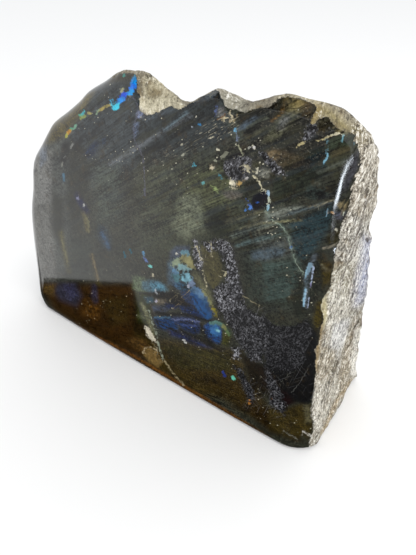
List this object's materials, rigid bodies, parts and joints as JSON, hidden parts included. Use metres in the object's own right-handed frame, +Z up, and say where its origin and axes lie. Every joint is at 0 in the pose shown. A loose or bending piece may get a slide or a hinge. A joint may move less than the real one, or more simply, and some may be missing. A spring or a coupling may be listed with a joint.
{
  "type": "labradorite freeform sculpture",
  "caption": "Free-standing slab of labradorite with a polished face and end, broken rough top, side and back, resting on a flat sawn base.",
  "frame": {"origin": "middle of the stone's bounding box, at the height of the sawn base", "axes": "+X along the polished face towards the broken side, +Y from the polished face towards the broken back, +Z up from the base"},
  "size_m": [0.2116, 0.0716, 0.1618],
  "materials": {
    "labradorite": "dark grey-green feldspar with blue, teal and gold flashes, mirror polished on the face, the left end and the base; granular and matt beige-grey on the broken top, right side and back"
  },
  "bodies": {
    "root": {"stone": "labradorite"}
  },
  "joints": []
}
